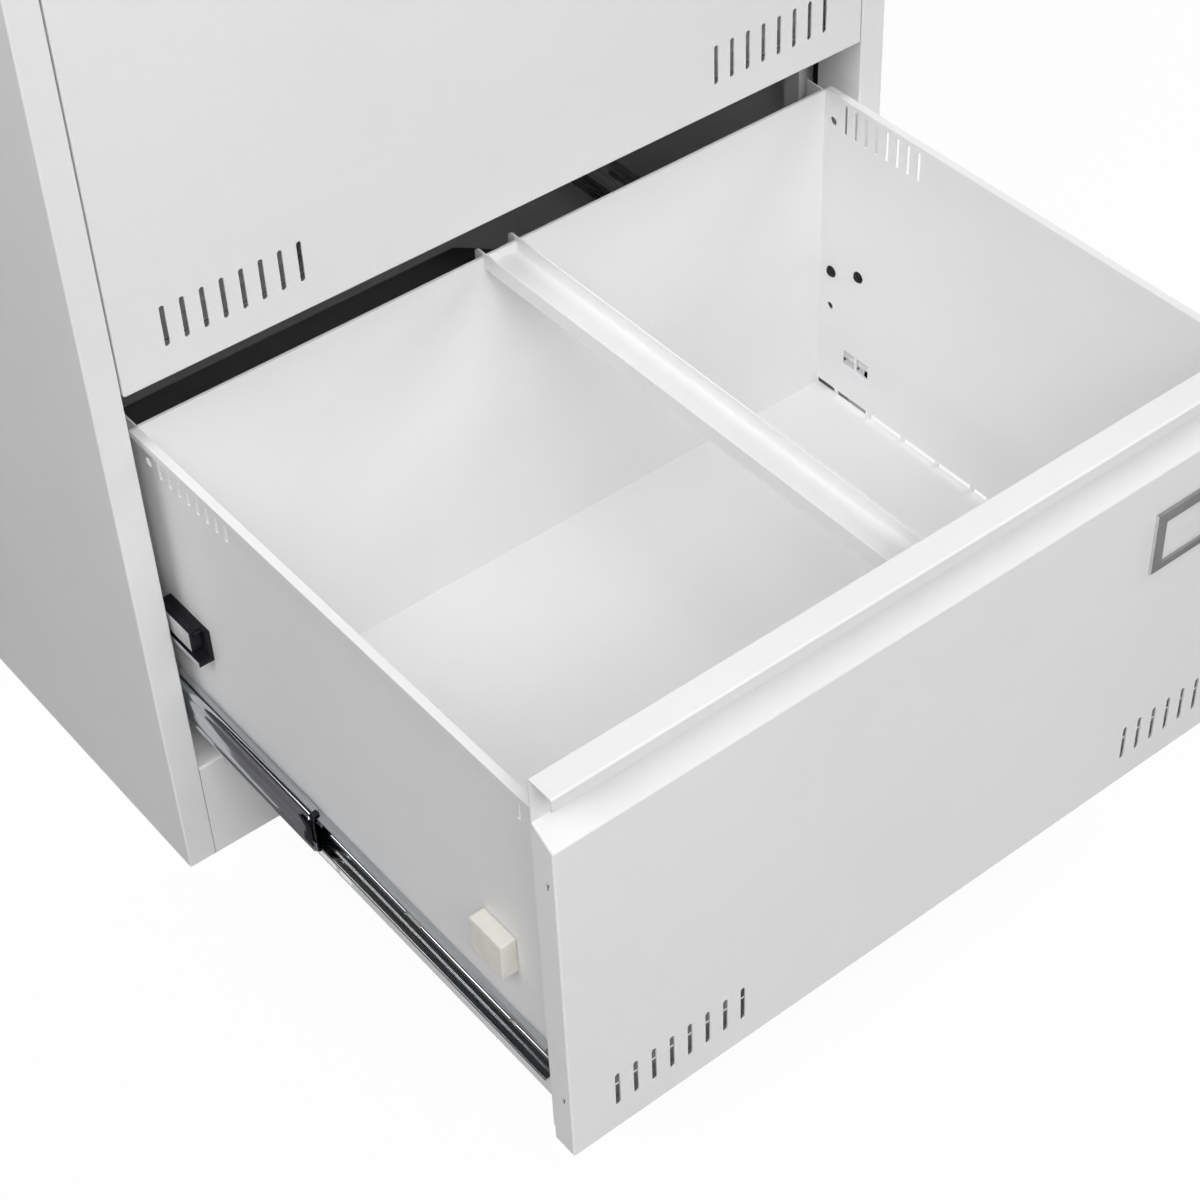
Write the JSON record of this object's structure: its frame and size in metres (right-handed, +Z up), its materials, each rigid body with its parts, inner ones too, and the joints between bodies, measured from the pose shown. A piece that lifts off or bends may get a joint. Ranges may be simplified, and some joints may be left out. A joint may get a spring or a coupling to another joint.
{
  "type": "filing cabinet",
  "caption": "Floor-standing lateral filing cabinet in folded sheet steel, with wide drawers on ball slides, finger-pull fronts and sliding hanging-file rails.",
  "frame": {"origin": "on the floor, under the middle of the whole part with the lower drawer pulled out", "axes": "+X to the cabinet's right as seen from its front, +Y from front to back, +Z up"},
  "size_m": [0.6, 0.8404, 0.72],
  "materials": {
    "white_paint": "white powder coat, fine texture, satin",
    "zinc_steel": "bright zinc plate",
    "nickel": "polished nickel",
    "black_steel": "black oxide, satin",
    "black_plastic": "black moulded plastic",
    "grey_label": "grey moulded plastic, satin",
    "paper": "plain white card",
    "foam": "off-white foam"
  },
  "bodies": {
    "cabinet": {"left_side_panel": "white_paint", "right_side_panel": "white_paint", "back_panel": "white_paint", "top_panel": "white_paint", "bottom_panel": "white_paint", "plinth_rail": "white_paint", "top_rail": "white_paint", "upright_front_left": "white_paint", "upright_front_right": "white_paint", "upright_rear_left": "white_paint", "upright_rear_right": "white_paint", "lock_housing": "nickel", "levelling_feet": "zinc_steel", "foot_brackets": "zinc_steel", "counterweight": "zinc_steel", "lower_slide_outer_left": "zinc_steel", "lower_slide_outer_right": "zinc_steel", "upper_slide_outer_left": "zinc_steel", "upper_slide_outer_right": "zinc_steel"},
    "lower_drawer": {"lower_front": "white_paint", "lower_front_liner": "white_paint", "lower_left_side": "white_paint", "lower_right_side": "white_paint", "lower_back": "white_paint", "lower_bottom": "white_paint", "lower_label_holder": "grey_label", "lower_label_card": "paper", "lower_interlock_block_left": "black_plastic", "lower_interlock_block_right": "black_plastic", "lower_block_screws": "black_steel", "lower_foam_bumpers": "foam", "lower_slide_inner_left": "zinc_steel", "lower_slide_inner_right": "zinc_steel"},
    "lower_slide_middles": {"lower_slide_mid_left": "zinc_steel", "lower_slide_mid_right": "zinc_steel", "lower_slide_end_stops": "black_plastic"},
    "lower_rail": {"lower_file_rail": "white_paint"},
    "upper_drawer": {"upper_front": "white_paint", "upper_front_liner": "white_paint", "upper_left_side": "white_paint", "upper_right_side": "white_paint", "upper_back": "white_paint", "upper_bottom": "white_paint", "upper_label_holder": "grey_label", "upper_label_card": "paper", "upper_interlock_block_left": "black_plastic", "upper_interlock_block_right": "black_plastic", "upper_block_screws": "black_steel", "upper_foam_bumpers": "foam", "upper_slide_inner_left": "zinc_steel", "upper_slide_inner_right": "zinc_steel"},
    "upper_slide_middles": {"upper_slide_mid_left": "zinc_steel", "upper_slide_mid_right": "zinc_steel", "upper_slide_end_stops": "black_plastic"},
    "upper_rail": {"upper_file_rail": "white_paint"},
    "lock_cylinder": {"lock_plug": "nickel", "lock_cam": "zinc_steel", "key": "nickel"},
    "left_rod": {"interlock_rod_left": "black_steel"},
    "right_rod": {"interlock_rod_right": "black_steel"}
  },
  "joints": [
    {"name": "lower_drawer_slide", "type": "slide", "parent": "cabinet", "child": "lower_drawer", "axis": [0, -1, 0], "range_m": [-0.3883, 0]},
    {"name": "lower_middles_slide", "type": "slide", "parent": "cabinet", "child": "lower_slide_middles", "axis": [0, -1, 0], "range_m": [-0.162, 0]},
    {"name": "lower_rail_shift", "type": "slide", "parent": "lower_drawer", "child": "lower_rail", "axis": [1, 0, 0], "range_m": [-0.244, 0.252]},
    {"name": "upper_drawer_slide", "type": "slide", "parent": "cabinet", "child": "upper_drawer", "axis": [0, -1, 0], "range_m": [0, 0.3883]},
    {"name": "upper_middles_slide", "type": "slide", "parent": "cabinet", "child": "upper_slide_middles", "axis": [0, -1, 0], "range_m": [0, 0.162]},
    {"name": "upper_rail_shift", "type": "slide", "parent": "upper_drawer", "child": "upper_rail", "axis": [1, 0, 0], "range_m": [-0.244, 0.252]},
    {"name": "right_rod_lift", "type": "slide", "parent": "cabinet", "child": "right_rod", "axis": [0, 0, 1], "range_m": [0, 0.008]},
    {"name": "left_rod_lift", "type": "slide", "parent": "cabinet", "child": "left_rod", "axis": [0, 0, 1], "range_m": [0, 0.008]},
    {"name": "lock_turn", "type": "hinge", "parent": "cabinet", "child": "lock_cylinder", "pos_m": [0.25, -0.02975, 0.70515], "axis": [0, 1, 0], "range_deg": [0, 90]}
  ],
  "couplings": [
    {"joint": "lower_middles_slide", "follows": "lower_drawer_slide", "ratio": 0.4171},
    {"joint": "upper_middles_slide", "follows": "upper_drawer_slide", "ratio": 0.4171},
    {"joint": "left_rod_lift", "follows": "right_rod_lift", "ratio": 1},
    {"joint": "lock_turn", "follows": "right_rod_lift", "rad_per_m": 196.3}
  ]
}
